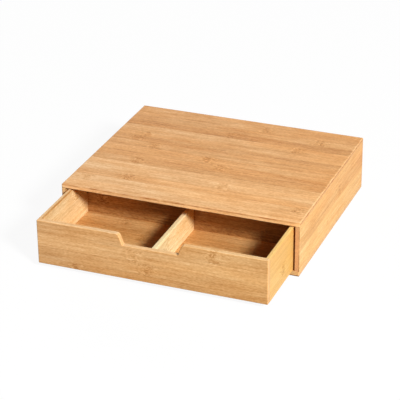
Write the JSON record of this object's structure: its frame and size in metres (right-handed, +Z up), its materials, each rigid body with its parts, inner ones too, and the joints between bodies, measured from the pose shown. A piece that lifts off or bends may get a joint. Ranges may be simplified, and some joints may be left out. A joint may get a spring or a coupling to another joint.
{
  "type": "coffee station organizer",
  "caption": "Low bamboo countertop casing with a flat lid to stand a coffee machine on and a divided, finger-notched drawer that slides out of its open front.",
  "frame": {"origin": "centre of the casing's underside, on the surface that it stands on", "axes": "+Z up, -Y towards the open front that the drawer slides out of, +X to the right as seen from the front"},
  "size_m": [0.37, 0.417, 0.085],
  "materials": {
    "lid_bamboo": "satin lacquered bamboo laminate",
    "casing_bamboo": "satin lacquered bamboo laminate",
    "front_bamboo": "satin lacquered bamboo laminate",
    "drawer_bamboo": "satin lacquered bamboo laminate",
    "floor_bamboo": "thin bamboo ply",
    "dowel_wood": "plain turned dowel"
  },
  "bodies": {
    "casing": {"top_panel": "lid_bamboo", "bottom_panel": "casing_bamboo", "right_side_panel": "casing_bamboo", "left_side_panel": "casing_bamboo", "back_panel": "casing_bamboo", "casing_top_dowels": "dowel_wood", "casing_bottom_dowels": "dowel_wood", "casing_back_dowels": "dowel_wood"},
    "drawer": {"drawer_front": "front_bamboo", "drawer_back": "drawer_bamboo", "drawer_right_side": "drawer_bamboo", "drawer_left_side": "drawer_bamboo", "drawer_floor": "floor_bamboo", "long_divider": "drawer_bamboo", "cross_divider": "drawer_bamboo", "drawer_front_dowels": "dowel_wood", "drawer_back_dowels": "dowel_wood"}
  },
  "joints": [
    {"name": "drawer_slide", "type": "slide", "parent": "casing", "child": "drawer", "axis": [0, -1, 0], "range_m": [-0.105, 0.155]}
  ]
}
